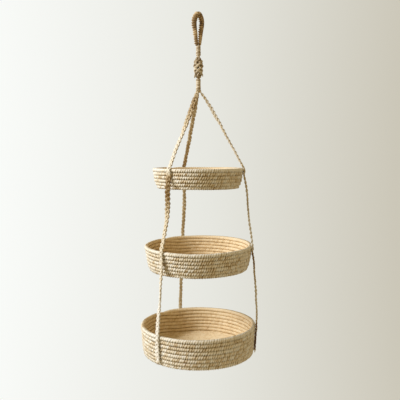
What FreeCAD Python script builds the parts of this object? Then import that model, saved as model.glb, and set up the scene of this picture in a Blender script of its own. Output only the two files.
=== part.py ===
"""Three-tier hanging produce basket of coiled palm straw.

Three round baskets hang one below the other on three plaited straps.  The straps meet in a whipped
neck, run through a knot, and end in a cord-covered loop that goes over a hook.
Units are millimetres, +Z is up, and the origin is the inner top of the loop, where the hook bears.
"""
import FreeCAD, Part
import math
import os
from FreeCAD import Placement, Rotation, Vector

# ---------------------------------------------------------------- driving dimensions
# Coiled basket work
COIL_SQUEEZE = 0.45         # how much fatter a coil's radius is than half the pitch
WALL_CHORD_COUNT = 4        # straight lines that draw a coil's round side in a wall's profile
FLOOR_CHORD_COUNT = 2       # the same on a base, which is trodden flatter

# The three tiers: outside radius of the rim, courses from rim to base, distance from one course to
# the next, and in degrees how far the wall leans in and how far the last step down to the base does
TOP_RIM_RADIUS = 123.0
TOP_COURSE_COUNT = 6
TOP_COIL_PITCH = 9.15
TOP_LEAN = 9.5
TOP_CORNER_LEAN = 26.0
MIDDLE_RIM_RADIUS = 147.0
MIDDLE_COURSE_COUNT = 7
MIDDLE_COIL_PITCH = 9.5
MIDDLE_LEAN = 9.0
MIDDLE_CORNER_LEAN = 22.0
BOTTOM_RIM_RADIUS = 158.5
BOTTOM_COURSE_COUNT = 8
BOTTOM_COIL_PITCH = 10.0
BOTTOM_LEAN = 3.5
BOTTOM_CORNER_LEAN = 14.0

# Heights along the stack
APEX_TO_TOP_RIM = 210.7
TOP_TO_MIDDLE_RIM = 208.5
MIDDLE_TO_BOTTOM_RIM = 220.0

# Plaited straps, each of three strands side by side; azimuths in degrees from +X
BACK_STRAP_AZIMUTH = 90.0
LEFT_STRAP_AZIMUTH = 213.0
RIGHT_STRAP_AZIMUTH = 330.0
STRAND_RADIUS = 2.3
STRAND_SQUEEZE = 0.35       # how far a strand presses into its neighbour, each side
STRAP_TAIL = 62.0           # strap that lies on the bottom tier's wall, below the rim's middle
STRAP_END_RADIUS = 3.6      # the whipped end of a strap

# Lashing that crosses a strap at each rim
LASHING_RADIUS = 0.8
LASHING_MARGIN = 1.2        # from the strap's edge to the lashing's legs

# Hanging loop
LOOP_CORD_RADIUS = 5.6      # over the cord cover
LOOP_CORE_RADIUS = 2.8
LOOP_HOOK_RADIUS = 3.0      # inside of the bend over the hook
LOOP_FLARE = 7.0            # degrees that the legs spread below the bend
LOOP_LENGTH = 76.0          # inner top of the loop to the neck

# Neck: whipping, knot, whipping
NECK_CORE_RADIUS = 4.0
NECK_BALL_RADIUS = 4.6      # rounded end of the core, which rocks in the knot
WHIPPING_RADIUS = 6.4
UPPER_WHIPPING_LENGTH = 28.0
UPPER_WRAP_COUNT = 7
LOWER_WHIPPING_LENGTH = 32.2
LOWER_WRAP_COUNT = 7
NECK_FLEX = 3.0             # bare core between a whipping and the knot, where the neck bends
KNOT_LENGTH = 53.5
KNOT_CORE_RADIUS = 7.4
KNOT_ROUND_COUNT = 4
KNOT_LOBE_RADIUS = 7.4
KNOT_LOBE_OFFSET = 5.8      # of a lobe's centre from the axis
KNOT_END_SHARE = 0.84       # size of the first and last round beside the others
KNOT_TURN = -40.0           # degrees, azimuth of one of the first round's lobes
TAIL_RADIUS = 2.0
TAIL_TIP_RADIUS = 1.4
TAIL_LENGTH = 11.0
TAIL_LIFT = 12.0            # of a tail's upper end above the knot's bottom
TAIL_SPREAD = 10.0          # degrees that a cord tail stands off the knot
CROTCH_LENGTH = 4.0         # core below the lower whipping, with the straps round it

# Clearances
SEAT_GAP = 0.3              # between pieces that bear on each other

# ---------------------------------------------------------------- worked out from them
STRAP_AZIMUTHS = {
    "back": BACK_STRAP_AZIMUTH,
    "left": LEFT_STRAP_AZIMUTH,
    "right": RIGHT_STRAP_AZIMUTH,
}
STRAP_COUNT = len(STRAP_AZIMUTHS)
STRAND_SPACING = 2 * (STRAND_RADIUS - STRAND_SQUEEZE)
STRAP_HALF_WIDTH = STRAND_SPACING + STRAND_RADIUS
CROTCH_RADIUS = STRAP_HALF_WIDTH / math.tan(math.radians(180 / STRAP_COUNT))

UPPER_WHIPPING_TOP = -LOOP_LENGTH - SEAT_GAP
KNOT_TOP = UPPER_WHIPPING_TOP - UPPER_WHIPPING_LENGTH - NECK_FLEX
KNOT_BOTTOM = KNOT_TOP - KNOT_LENGTH
LOWER_WHIPPING_TOP = KNOT_BOTTOM - NECK_FLEX
APEX = LOWER_WHIPPING_TOP - LOWER_WHIPPING_LENGTH
TOP_RIM = APEX - APEX_TO_TOP_RIM
MIDDLE_RIM = TOP_RIM - TOP_TO_MIDDLE_RIM
BOTTOM_RIM = MIDDLE_RIM - MIDDLE_TO_BOTTOM_RIM

Z_AXIS = Vector(0, 0, 1)
ORIGIN = Vector(0, 0, 0)


# ---------------------------------------------------------------- helpers
def save(name, *solids):
    """Write one node: one solid, or several alike."""
    for solid in solids:
        if not solid.isValid() or solid.Volume <= 0:
            raise ValueError("bad solid in " + name)
    shape = solids[0] if len(solids) == 1 else Part.makeCompound(list(solids))
    shape.exportStep(os.path.join("parts", name + ".step"))
    print(f"{name}: {len(solids)} solid(s), {sum(s.Volume for s in solids):.0f} mm3")


def at(point):
    """A point of the radial plane, (radius, height), as a vector."""
    return Vector(point[0], 0, point[1])


def step_from(point, lean, length):
    """The point that lies length further down a line that leans in by lean degrees."""
    angle = math.radians(lean)
    return (point[0] - length * math.sin(angle), point[1] - length * math.cos(angle))


def crossings(first, second, radius):
    """Where equal circles about two neighbours cross: left, then right, of the way there."""
    middle = ((first[0] + second[0]) / 2, (first[1] + second[1]) / 2)
    along = (second[0] - first[0], second[1] - first[1])
    gap = math.hypot(*along)
    reach = math.sqrt(radius ** 2 - (gap / 2) ** 2) / gap
    side = (-along[1] * reach, along[0] * reach)
    return ((middle[0] + side[0], middle[1] + side[1]), (middle[0] - side[0], middle[1] - side[1]))


def rounded(start, end, centre, turn, chords):
    """Points after start on the circle about centre as it turns to end, 1 left or -1 right."""
    first = math.atan2(start[1] - centre[1], start[0] - centre[0])
    last = math.atan2(end[1] - centre[1], end[0] - centre[0])
    sweep = turn * ((last - first) * turn % (2 * math.pi))
    radius = math.hypot(start[0] - centre[0], start[1] - centre[1])
    angles = [first + sweep * (step + 1) / chords for step in range(chords)]
    return [(centre[0] + radius * math.cos(a), centre[1] + radius * math.sin(a)) for a in angles]


def scalloped(centres, seams, turn, chords):
    """Points along the round sides of a row of coils, from one seam to the next."""
    points = []
    for centre, start, end in zip(centres, seams, seams[1:]):
        points += rounded(start, end, centre, turn, chords)
    return points


def revolve(points):
    """A ring or disc from the corners of its profile, in order."""
    outline = Part.makePolygon([at(point) for point in points + points[:1]])
    solid = Part.Face(outline).revolve(ORIGIN, Z_AXIS, 360)
    return solid if solid.Volume > 0 else solid.reversed()


def turned(shape, azimuth):
    """A copy of a shape that was made in the XZ plane, turned to its azimuth about the stack."""
    return shape.transformed(Placement(ORIGIN, Rotation(Z_AXIS, azimuth)).toMatrix())


# ---------------------------------------------------------------- coiled baskets
class Tier:
    """One basket: the centres of its courses, rim first, in the radial plane, and its coil's size."""

    def __init__(self, name, rim_radius, rim_height, courses, pitch, lean, corner_lean):
        self.name, self.pitch, self.lean = name, pitch, lean
        self.coil_radius = pitch / 2 + COIL_SQUEEZE
        self.strap_offset = self.coil_radius + SEAT_GAP + STRAND_RADIUS
        corner = [(lean + corner_lean) / 2, corner_lean]
        self.centres = [(rim_radius - self.coil_radius, rim_height)]
        for step in [lean] * (courses - 1 - len(corner)) + corner:
            self.centres.append(step_from(self.centres[-1], step, pitch))

    def seam_below(self, index):
        """Inner and outer edge of the flat seam between one course and the next one down."""
        return sorted(crossings(self.centres[index], self.centres[index + 1], self.coil_radius))

    def on_rim(self, angle):
        """The point of a strap's centre line over the rim's coil, at an angle from level."""
        turn = math.radians(angle)
        radius, height = self.centres[0]
        return (radius + self.strap_offset * math.cos(turn), height + self.strap_offset * math.sin(turn))

    def strap_entry(self, start):
        """The angle at which a strap that comes straight from start first bears on the rim's coil."""
        across, down = self.centres[0][0] - start[0], self.centres[0][1] - start[1]
        turn = math.atan2(down, across) + math.acos(-self.strap_offset / math.hypot(across, down))
        return math.degrees(turn)


def rim_ring(tier):
    """The top course, sewn down onto the wall."""
    inner, outer = tier.seam_below(0)
    return revolve([outer] + rounded(outer, inner, tier.centres[0], 1, 2 * WALL_CHORD_COUNT))


def wall_ring(tier):
    """The stacked courses between the rim and the base."""
    seams = [tier.seam_below(index) for index in range(len(tier.centres) - 1)]
    inner, outer = [seam[0] for seam in seams], [seam[1] for seam in seams]
    courses = tier.centres[1:-1]
    outside = [outer[0]] + scalloped(courses, outer, -1, WALL_CHORD_COUNT)
    inside = [inner[-1]] + scalloped(courses[::-1], inner[::-1], -1, WALL_CHORD_COUNT)
    return revolve(outside + inside)


def base_disc(tier):
    """The flat spiral of the base, as rings that shrink evenly to a button in the middle."""
    edge_radius, height = tier.centres[-1]
    rings = round(edge_radius / tier.pitch)
    row = [(edge_radius * (rings - index) / rings, height) for index in range(rings + 1)]
    pairs = [crossings(coil, inner_coil, tier.coil_radius) for coil, inner_coil in zip(row, row[1:])]
    tops = [max(pair, key=lambda point: point[1]) for pair in pairs]
    bottoms = [min(pair, key=lambda point: point[1]) for pair in pairs]
    seam_inner, seam_outer = tier.seam_below(len(tier.centres) - 2)
    floor = rounded(seam_inner, tops[0], row[0], 1, FLOOR_CHORD_COUNT)
    floor += scalloped(row[1:-1], tops, 1, FLOOR_CHORD_COUNT)
    button = [(0, tops[-1][1]), (0, bottoms[-1][1])]
    under = [bottoms[-1]] + scalloped(row[-2:0:-1], bottoms[::-1], 1, FLOOR_CHORD_COUNT)
    corner = rounded(bottoms[0], seam_outer, row[0], 1, WALL_CHORD_COUNT)
    return revolve([seam_inner] + floor + button + under + corner)


# ---------------------------------------------------------------- plaited straps
def strap_section(point, direction):
    """The strap's cross-section, three strands abreast, square to a direction in the XZ plane."""
    strands = [(index * STRAND_SPACING, 0) for index in (-1, 0, 1)]
    valleys = [crossings(a, b, STRAND_RADIUS) for a, b in zip(strands, strands[1:])]
    ends = ((-STRAP_HALF_WIDTH, 0), (STRAP_HALF_WIDTH, 0))
    upper = [max(pair, key=lambda p: p[1]) for pair in valleys]
    lower = [min(pair, key=lambda p: p[1]) for pair in valleys]
    crest, trough = (0, STRAND_RADIUS), (0, -STRAND_RADIUS)

    def flat(p):
        return Vector(p[0], p[1], 0)

    edges = [
        Part.Arc(flat(lower[0]), flat(ends[0]), flat(upper[0])).toShape(),
        Part.Arc(flat(upper[0]), flat(crest), flat(upper[1])).toShape(),
        Part.Arc(flat(upper[1]), flat(ends[1]), flat(lower[1])).toShape(),
        Part.Arc(flat(lower[1]), flat(trough), flat(lower[0])).toShape(),
    ]
    face = Part.Face(Part.Wire(edges))
    across = Vector(0, 1, 0)
    along = Vector(direction[0], 0, direction[1])
    frame = Rotation(across, across.cross(along).negative(), along, "ZXY")
    face.Placement = Placement(at(point), frame)
    return face


def run_of_strap(start, end):
    """A straight run of strap between two points of the radial plane."""
    way = (end[0] - start[0], end[1] - start[1])
    return strap_section(start, way).extrude(Vector(way[0], 0, way[1]))


def span(tier, start):
    """The free strap from start down to where it first bears on a rim."""
    end = tier.on_rim(tier.strap_entry(start))
    length = math.hypot(end[0] - start[0], end[1] - start[1])
    keep = 1 - SEAT_GAP / length
    near = (start[0] + (end[0] - start[0]) * keep, start[1] + (end[1] - start[1]) * keep)
    return run_of_strap(start, near)


def sewn_stretch(tier, start, length):
    """The strap over a rim's shoulder and down the wall: the solid, and its lower end."""
    entry = tier.strap_entry(start)
    turn = math.radians(entry)
    section = strap_section(tier.on_rim(entry), (math.sin(turn), -math.cos(turn)))
    shoulder = section.revolve(at(tier.centres[0]), Vector(0, 1, 0), entry + tier.lean)
    last = tier.on_rim(-tier.lean)
    end = step_from(last, tier.lean, length)
    return shoulder.fuse(run_of_strap(last, end)).removeSplitter(), end


def next_start(upper, end, lower):
    """Where the free strap to the next rim starts, just clear of the sewn stretch above it."""
    kink = lower.strap_entry(end) + upper.lean
    return (end[0], end[1] - SEAT_GAP - STRAND_RADIUS * math.sin(math.radians(abs(kink))))


def lashing(tier):
    """A cross of cord over the strap, with four legs that go in to the top two courses."""
    courses = tier.centres[:2]
    bar = courses[0][0] + tier.strap_offset + STRAND_RADIUS + SEAT_GAP + LASHING_RADIUS
    reach = STRAP_HALF_WIDTH + LASHING_MARGIN + LASHING_RADIUS
    solid = None
    for side in (-1, 1):
        corners = [Vector(bar, side * reach, courses[0][1]), Vector(bar, -side * reach, courses[1][1])]
        feet = []
        for corner, course in zip(corners, courses):
            feet.append(Vector(course[0] + tier.coil_radius + SEAT_GAP, corner.y, corner.z))
        cord = corded([feet[0]] + corners + [feet[1]], LASHING_RADIUS)
        solid = cord if solid is None else solid.fuse(cord)
    return solid


def corded(points, radius):
    """A cord through points, rounded at its corners."""
    solid = None
    for start, end in zip(points, points[1:]):
        way = end - start
        piece = Part.makeCylinder(radius, way.Length, start, way)
        if start != points[0]:
            piece = piece.fuse(Part.makeSphere(radius, start))
        solid = piece if solid is None else solid.fuse(piece)
    return solid


def strap_end(end):
    """The whipped end of a strap, a flattened bead just below it."""
    bead = Part.makeSphere(STRAP_END_RADIUS)
    cut = Part.makeBox(STRAP_END_RADIUS * 3, STRAP_END_RADIUS * 3, STRAP_END_RADIUS)
    cut.translate(Vector(-STRAP_END_RADIUS * 1.5, -STRAP_END_RADIUS * 1.5, STRAP_END_RADIUS / 2))
    bead = bead.cut(cut)
    bead.translate(Vector(end[0], 0, end[1] - STRAP_END_RADIUS / 2 - SEAT_GAP))
    return bead


# ---------------------------------------------------------------- hanging loop
def loop_path():
    """The loop's centre line: a bend over the hook and two long arcs that close at the neck."""
    bend = LOOP_HOOK_RADIUS + LOOP_CORD_RADIUS
    middle = (0, -LOOP_HOOK_RADIUS)
    foot = (LOOP_CORD_RADIUS + SEAT_GAP / 2, -LOOP_LENGTH)
    turn = math.radians(90 - LOOP_FLARE)
    way = (math.sin(turn), math.cos(turn))
    shoulder = (middle[0] + bend * way[0], middle[1] + bend * way[1])
    reach = (foot[0] - middle[0], foot[1] - middle[1])
    chord = math.hypot(foot[0] - shoulder[0], foot[1] - shoulder[1])
    side = chord ** 2 / (2 * (bend - reach[0] * way[0] - reach[1] * way[1]))
    hub = (middle[0] + (bend - side) * way[0], middle[1] + (bend - side) * way[1])
    halfway = math.atan2((shoulder[1] + foot[1]) / 2 - hub[1], (shoulder[0] + foot[0]) / 2 - hub[0])
    waist = (hub[0] + side * math.cos(halfway), hub[1] + side * math.sin(halfway))
    crown = (0, middle[1] + bend)
    return crown, shoulder, waist, foot


def mirrored(point):
    return (-point[0], point[1])


def swept(arc, radius):
    """A round cord along an arc."""
    section = Part.makeCircle(radius, arc.valueAt(arc.FirstParameter), arc.tangentAt(arc.FirstParameter))
    return Part.Wire(arc).makePipe(Part.Face(Part.Wire(section)))


def loop_solid(radius):
    """The bend and both legs of one layer of the loop, cut level at the neck."""
    crown, shoulder, waist, foot = loop_path()
    solid = swept(Part.Arc(at(mirrored(shoulder)), at(crown), at(shoulder)).toShape(), radius)
    for place in (tuple, mirrored):
        leg = Part.Arc(at(place(shoulder)), at(place(waist)), at(place(foot))).toShape()
        solid = solid.fuse(swept(leg, radius))
    reach = 4 * LOOP_CORD_RADIUS
    below = Part.makeBox(2 * reach, 2 * reach, reach, Vector(-reach, -reach, -LOOP_LENGTH - reach))
    return solid.cut(below)


# ---------------------------------------------------------------- neck
def whipping(top, length, wraps):
    """Turns of strip wound tight round the neck's core."""
    pitch = length / wraps
    valley = WHIPPING_RADIUS - pitch / 6
    points = [(NECK_CORE_RADIUS, top), (valley, top)]
    for index in range(wraps):
        points.append((WHIPPING_RADIUS, top - (index + 0.5) * pitch))
        points.append((valley, top - (index + 1) * pitch))
    return revolve(points + [(NECK_CORE_RADIUS, top - length)])


def neck_core(top, bottom):
    return Part.makeCylinder(NECK_CORE_RADIUS, top - bottom, Vector(0, 0, bottom))


def knot_lobe(radius):
    """One bulging strand crossing, a barrel about the vertical."""
    half = radius * math.sin(math.radians(60))
    end = radius * math.cos(math.radians(60))
    side = rounded((end, -half), (end, half), (0, 0), 1, WALL_CHORD_COUNT)
    return revolve([(0, -half), (end, -half)] + side + [(0, half)])


def knot():
    """Rounds of crossing strands, each round turned half a lobe from the one above."""
    body = Part.makeCylinder(KNOT_CORE_RADIUS, KNOT_LENGTH, Vector(0, 0, KNOT_BOTTOM))
    step = (KNOT_LENGTH - 2 * KNOT_LOBE_RADIUS * KNOT_END_SHARE) / (KNOT_ROUND_COUNT - 1)
    for level in range(KNOT_ROUND_COUNT):
        share = KNOT_END_SHARE if level in (0, KNOT_ROUND_COUNT - 1) else 1
        height = KNOT_TOP - KNOT_LOBE_RADIUS * KNOT_END_SHARE - level * step
        for index in range(STRAP_COUNT):
            lobe = knot_lobe(KNOT_LOBE_RADIUS * share)
            lobe.translate(Vector(KNOT_LOBE_OFFSET * share, 0, height))
            body = body.fuse(turned(lobe, KNOT_TURN + (index + level / 2) * 360 / STRAP_COUNT))
    for height in (KNOT_TOP, KNOT_BOTTOM):
        body = body.cut(Part.makeSphere(NECK_BALL_RADIUS + SEAT_GAP, Vector(0, 0, height)))
    return body


def knot_tail(turns):
    """A cut cord end in a valley of the knot's lowest round, some turns of a lobe from the first."""
    lean = math.radians(TAIL_SPREAD)
    way = Vector(math.sin(lean), 0, -math.cos(lean))
    start = Vector(KNOT_CORE_RADIUS + SEAT_GAP + TAIL_RADIUS, 0, KNOT_BOTTOM + TAIL_LIFT)
    tail = Part.makeCone(TAIL_RADIUS, TAIL_TIP_RADIUS, TAIL_LENGTH, start, way)
    return turned(tail, KNOT_TURN + turns * 360 / STRAP_COUNT)


# ---------------------------------------------------------------- the object
def make_loop():
    core = loop_solid(LOOP_CORE_RADIUS)
    save("loop_core", core)
    save("loop_cord_cover", loop_solid(LOOP_CORD_RADIUS).cut(core))


def make_neck():
    upper = neck_core(UPPER_WHIPPING_TOP, KNOT_TOP)
    save("upper_neck_core", upper.fuse(Part.makeSphere(NECK_BALL_RADIUS, Vector(0, 0, KNOT_TOP))))
    save("upper_whipping", whipping(UPPER_WHIPPING_TOP, UPPER_WHIPPING_LENGTH, UPPER_WRAP_COUNT))
    save("knot", knot())
    save("knot_tails", knot_tail(2), knot_tail(3))
    lower = neck_core(KNOT_BOTTOM, APEX)
    lower = lower.fuse(Part.makeSphere(NECK_BALL_RADIUS, Vector(0, 0, KNOT_BOTTOM)))
    crotch = Vector(0, 0, APEX - CROTCH_LENGTH)
    lower = lower.fuse(Part.makeCylinder(CROTCH_RADIUS - SEAT_GAP, CROTCH_LENGTH, crotch))
    save("lower_neck_core", lower)
    save("lower_whipping", whipping(LOWER_WHIPPING_TOP, LOWER_WHIPPING_LENGTH, LOWER_WRAP_COUNT))


def save_for_straps(pattern, shape):
    """One node for each strap, named by the pattern, from the shape in the XZ plane."""
    for strap, azimuth in STRAP_AZIMUTHS.items():
        save(pattern.format(strap), turned(shape, azimuth))


def at_each_strap(shape):
    return [turned(shape, azimuth) for azimuth in STRAP_AZIMUTHS.values()]


def make_tier(tier, start, sewn_length):
    """One basket with the straps that come down to it; returns the strap's lower end."""
    save(tier.name + "_rim", rim_ring(tier))
    save(tier.name + "_wall", wall_ring(tier))
    save(tier.name + "_base", base_disc(tier))
    sewn, end = sewn_stretch(tier, start, sewn_length)
    save_for_straps(tier.name + "_{}_strap_span", span(tier, start))
    save_for_straps(tier.name + "_{}_strap_sewn", sewn)
    save(tier.name + "_lashings", *at_each_strap(lashing(tier)))
    return end


def main():
    os.makedirs("parts", exist_ok=True)
    make_loop()
    make_neck()
    top = Tier("top", TOP_RIM_RADIUS, TOP_RIM, TOP_COURSE_COUNT, TOP_COIL_PITCH, TOP_LEAN, TOP_CORNER_LEAN)
    middle = Tier("middle", MIDDLE_RIM_RADIUS, MIDDLE_RIM, MIDDLE_COURSE_COUNT, MIDDLE_COIL_PITCH,
                  MIDDLE_LEAN, MIDDLE_CORNER_LEAN)
    bottom = Tier("bottom", BOTTOM_RIM_RADIUS, BOTTOM_RIM, BOTTOM_COURSE_COUNT, BOTTOM_COIL_PITCH,
                  BOTTOM_LEAN, BOTTOM_CORNER_LEAN)
    start = (CROTCH_RADIUS + STRAND_RADIUS, APEX - STRAND_RADIUS)
    end = make_tier(top, start, top.pitch)
    end = make_tier(middle, next_start(top, end, middle), middle.pitch)
    end = make_tier(bottom, next_start(middle, end, bottom), STRAP_TAIL)
    save("strap_ends", *at_each_strap(strap_end(end)))


main()
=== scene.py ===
"""Looks of the three-tier hanging basket: coiled palm straw, plaited straps, whipped neck and loop.

Units are metres in the CAD frame: +Z up, the origin at the inner top of the hanging loop.
"""
import math
from typing import NamedTuple

import bpy
import numpy as np
from mathutils import Matrix, Vector, noise


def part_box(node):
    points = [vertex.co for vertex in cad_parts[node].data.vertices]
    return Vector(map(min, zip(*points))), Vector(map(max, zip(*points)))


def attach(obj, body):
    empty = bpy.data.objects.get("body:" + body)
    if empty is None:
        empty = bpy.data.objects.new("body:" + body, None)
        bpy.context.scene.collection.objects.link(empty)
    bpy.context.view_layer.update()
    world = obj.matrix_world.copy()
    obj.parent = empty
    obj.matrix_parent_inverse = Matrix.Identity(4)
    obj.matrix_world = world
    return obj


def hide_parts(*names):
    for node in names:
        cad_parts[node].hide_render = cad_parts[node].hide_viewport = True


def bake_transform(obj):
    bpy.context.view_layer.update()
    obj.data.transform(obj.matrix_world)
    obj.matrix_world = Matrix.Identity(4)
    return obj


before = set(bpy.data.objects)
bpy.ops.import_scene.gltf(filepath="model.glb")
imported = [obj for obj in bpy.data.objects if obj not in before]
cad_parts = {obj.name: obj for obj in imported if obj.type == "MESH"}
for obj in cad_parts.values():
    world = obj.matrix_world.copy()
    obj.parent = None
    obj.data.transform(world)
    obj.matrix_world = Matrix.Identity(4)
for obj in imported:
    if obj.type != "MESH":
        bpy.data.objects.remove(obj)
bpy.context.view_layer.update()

MM = 0.001
TAU = 2 * math.pi
UP = np.array([0.0, 0.0, 1.0])
EAST = np.array([1.0, 0.0, 0.0])
FRONT = np.array([0.0, -1.0, 0.0])


# ---------------------------------------------------------------- sizes, as in the CAD model
class Coil(NamedTuple):
    """A basket's coil work. Its leans are from upright, in degrees."""

    courses: int
    pitch: float
    lean: float
    corner_lean: float          # of the wall's last step, down to the base

    @property
    def radius(self):
        """The coil's own radius."""
        return self.pitch / 2 + COIL_SQUEEZE


TIERS = {
    "top": Coil(6, 9.15 * MM, 9.5, 26.0),
    "middle": Coil(7, 9.5 * MM, 9.0, 22.0),
    "bottom": Coil(8, 10.0 * MM, 3.5, 14.0),
}
COIL_SQUEEZE = 0.45 * MM        # how much fatter a coil's radius is than half the pitch
STRAP_AZIMUTHS = {"back": 90.0, "left": 213.0, "right": 330.0}
STRAP_TAIL = 62 * MM            # strap that lies on the bottom tier's wall

# ---------------------------------------------------------------- sizes of the looks
# How the baskets hang: the azimuth of the low side and the tilt, in degrees
TILTS = {"top": (252.0, 0.0), "middle": (230.0, 1.2), "bottom": (115.0, 0.5)}

# A coil's course round a basket, and its section
COIL_JOG = math.radians(36)     # stretch in which a coil climbs to the next course
JOG_AZIMUTH = math.radians(128)
COIL_SAMPLES = 150              # points of the route in one turn
COIL_SIDES = 16
OUTER_SQUARENESS = 2.8          # of a coil's section, 2 for a round one
INNER_SQUARENESS = 2.15
SPIRAL_TURNS = 4                # of a base's middle, before its rings run level
BASE_OPEN_TURN = 0.9            # by which a base's coil stops short of its route
WALL_OPEN_JOG = 0.15            # the same for a wall, as a share of its jog
RIM_TURN = 0.85                 # the share of the rim's turn that is painted palest, as a painted highlight
RIM_FADE = 20 * MM              # stretch in which that painted highlight begins
COIL_START_TAPER = 50 * MM      # stretch in which a base's coil grows from its middle
COIL_END_TAPER = 52 * MM

# The palm strip that wraps a coil
STITCH = 6.0 * MM               # from one wrap to the next
STITCH_ROWS = 4                 # rings of the mesh in one wrap
WRAP_SLANT = 2                  # wraps by which the strip moves on in one turn
WRAP_DEPTH = 0.35 * MM          # of the strip over the bundle
# Each ring of a wrap, from the gap before it and over its crown
WRAP_RIDGE = np.array([-1.0, 0.4, 0.9, 0.4])            # height, in wrap depths
TONGUE_REACH = np.array([-1.8, -0.6, 1.4, -0.6]) * MM   # of the stitch into the course below
TONGUE_PIT = np.array([1.5, 1.1, 0.0, 1.1])             # strength of the painted shade in the gap beside that stitch
# Angles round a coil, from its outward direction and upwards
BASE_INSIDE = TAU / 4
BASE_STITCHES = math.radians(230)
WALL_INSIDE = TAU / 2
WALL_STITCHES = math.radians(308)

# The plaited straps
STRAP_SEAT = 2.6 * MM           # coil's surface to the middle of the strap over it
STRANDS = 3
STRAND_WIDE = 2.9 * MM
STRAND_THICK = 1.7 * MM
STRAND_RIBS = 5
RIB_LAY = 2.0 * MM              # along a strand, for one radian of the ribs' wave
PLAIT_SWAY = 3.4 * MM
PLAIT_LIFT = 1.2 * MM
PLAIT_PERIOD = 34 * MM          # along the strap, for a strand to go over and back
# Each strap's width as a share of the usual
STRAP_WIDTHS = {"back": 0.92, "left": 1.12, "right": 0.9}
# How each strap hangs between the tiers, evenly spaced down each free span: its twist in degrees,
# its sway sideways and its bow outwards in millimetres, and its tint from pale, 0, to deep, 1,
# set as painted shade where a stretch faces away from the lamp and paler where it faces it
HANG = {
    "back": {
        "twist": {"top": (0, 8, -6, 0), "middle": (0, -24, 4, -10, 0), "bottom": (0, 18, -12, 0)},
        "sway": {"top": (0, 0, 1, 2, 4), "middle": (4.5, 2, -0.5, 0, 1),
                 "bottom": (1, 3, 4.5, 5.5, 6)},
        "bow": {"top": (0, 0), "middle": (0, 1, 0), "bottom": (0, 1, 0)},
        "tint": {"top": (0.6, 0.56, 0.52, 0.76), "middle": (0.52, 0.46), "bottom": (0.35, 0.4)},
    },
    "left": {
        "twist": {"top": (-36, -44, -20, 8, 12, 6), "middle": (-36, -44, -34, -6, 6, 3),
                  "bottom": (2, 24, 40, 28, 4, 2)},
        "sway": {"top": (0, 4, 4, 3, 4.5), "middle": (4.5, 3.5, 7, 8, 3, -1.5),
                 "bottom": (-1.5, 0, 0, -1, -4, -6)},
        "bow": {"top": (0, 0), "middle": (0, -1.5, 0), "bottom": (0, 0)},
        "tint": {"top": (0.45, 0.65, 0.55, 0.3, 0.3, 0.3), "middle": (0.78, 0.66, 0.5, 0.4, 0.35),
                 "bottom": (0.3, 0.3, 0.15, 0.05, 0.05)},
    },
    "right": {
        "twist": {"top": (-30, -50, -50, -36, -10), "middle": (0, 10, -8, 6, 0),
                  "bottom": (0, -6, 8, -6, 0)},
        "sway": {"top": (0, 0), "middle": (0, 0), "bottom": (0, 0)},
        "bow": {"top": (0, 4, 4, 3, 2, 1, 0), "middle": (0, 3, 3.5, 1, -1, 0, 0, 0),
                "bottom": (0, 3, 2, 4, 5, 4, 3, 0)},
        "tint": {"top": (0.4, 0.3, 0.3, 0.35), "middle": (0.5, 0.2, 0.1),
                 "bottom": (0.9, 0.55, 0.2, 0.1, 0.1, 0.95)},
    },
}
LASHING_RADIUS = 0.8 * MM
LASHING_HALF_WIDTH = 6.9 * MM   # where the twine goes in between the courses
LASHING_CLEARANCE = 2.5 * MM    # strap's middle to the twine over it
COLLAR_WIDE = 4.6 * MM          # half the width of the whipping round a strap's end
COLLAR_THICK = 2.9 * MM
TUFT_FIBRES = 22                # below that whipping

# The neck, the knot and the loop
WHIPPING_RADIUS = 6.2 * MM
WHIPPING_RISE = 0.8 * MM        # about the height of a ridge
WHIPPING_WRAPS = 7
BUNDLE_CORDS = 7                # one in the middle and the rest round it
BUNDLE_CORD_RADIUS = 1.55 * MM
BUNDLE_SPACING = 2.7 * MM
BUNDLE_LAY = 46 * MM            # for a cord to go once round
KNOT_CORD_RADIUS = 2.8 * MM
KNOT_WAYS = 4                   # cords that wind each way
KNOT_TURNS = 1.05               # of a cord, from the knot's top to its bottom
KNOT_WEAVE = 1.5 * MM           # by which a cord passes over and under the others
# The knot's radius in millimetres at shares of its height, from the top down
KNOT_OUTLINE = {0: 6.0, 0.1: 8.6, 0.28: 12.4, 0.42: 12.2, 0.6: 11.6, 0.8: 10.8, 0.93: 8.6, 1: 6.2}
TAILS = ((200.0, 1.0), (320.0, 0.7))    # azimuth in degrees, and drop as a share of the CAD's
TAIL_PLIES = 5
TAIL_ROOT = 9.0 * MM            # from the axis
TAIL_TIP = 12.5 * MM
LOOP_THICK = 6.0 * MM           # radius at the crown
LOOP_THINNING = 2.6 * MM        # by which the legs' radius is less at the foot
LOOP_CORD_PITCH = 5.9 * MM
LOOP_CORD_RISE = 0.6 * MM
HITCH_HEIGHT = 3.2 * MM
# One side of the loop in millimetres: half its width, and the height above its foot
LOOP_SIDE = ((3.7, 0), (4.6, 7), (6.0, 19), (7.5, 34), (10.2, 52), (10.8, 63), (8.6, 73))
LOOP_CROWN = 3.5 * MM           # half the width of the loop's flat top

# Plant fibre: how fast its noise fields vary, and how far the tone follows each
STREAK_SHARE = 0.7              # streaks along a strip
PATCH_SCALE = 34.0
PATCH_SHARE = 0.2
FINE_SCALE = 420.0
FINE_SHARE = 0.5
FIBRE_ROUGHNESS = (0.5, 0.85)
FIBRE_RELIEF = 0.5 * MM

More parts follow.
